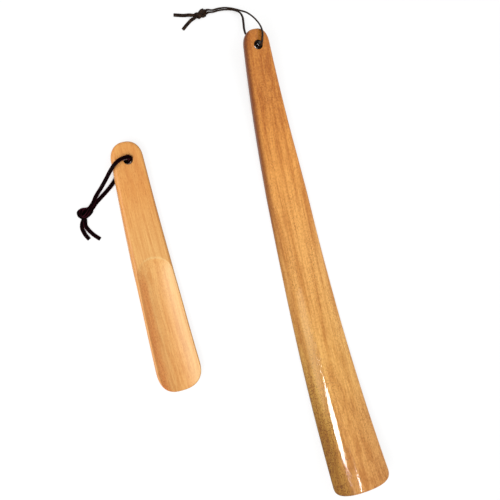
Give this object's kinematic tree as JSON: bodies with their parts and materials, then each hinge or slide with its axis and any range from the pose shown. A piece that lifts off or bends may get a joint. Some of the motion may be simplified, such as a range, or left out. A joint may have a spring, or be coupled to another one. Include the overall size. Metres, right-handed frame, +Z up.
{
  "type": "shoehorn",
  "caption": "Long and short wooden shoehorns with scooped blades and slim rounded handles, each with a tied leather lace through a hole in the handle's end.",
  "frame": {"origin": "on the table, in the middle of the rectangle that the two horns take up, laces left out", "axes": "+Y along both horns towards their handles' ends, +X from the short horn to the long one, +Z up from the table"},
  "size_m": [0.1936, 0.4086, 0.0263],
  "materials": {
    "lacquered_beech": "glossy clear lacquer over honey-coloured beech",
    "sanded_beech": "fine-sanded satin beech",
    "brown_leather": "waxed flat lace",
    "dark_leather": "waxed flat lace"
  },
  "bodies": {
    "long_horn": {"long_horn": "lacquered_beech"},
    "long_lace": {"long_lace_front": "brown_leather", "long_lace_back": "brown_leather", "long_lace_knot": "brown_leather", "long_lace_front_tail": "brown_leather", "long_lace_back_tail": "brown_leather"},
    "short_horn": {"short_horn": "sanded_beech"},
    "short_lace": {"short_lace_front": "dark_leather", "short_lace_back": "dark_leather", "short_lace_knot": "dark_leather", "short_lace_front_tail": "dark_leather", "short_lace_back_tail": "dark_leather"}
  },
  "joints": [
    {"name": "long_lace_swing", "type": "hinge", "parent": "long_horn", "child": "long_lace", "pos_m": [0.05733, 0.1772, 0.016], "axis": [0, 0, 1], "range_deg": [-128, 110]},
    {"name": "short_horn_lift", "type": "slide", "parent": "long_horn", "child": "short_horn", "axis": [0, 0, 1], "range_m": [0, 0.15]},
    {"name": "short_lace_swing", "type": "hinge", "parent": "short_horn", "child": "short_lace", "pos_m": [-0.06467, 0.1085, 0.0078], "axis": [0, 0, 1], "range_deg": [-235, 10]}
  ]
}
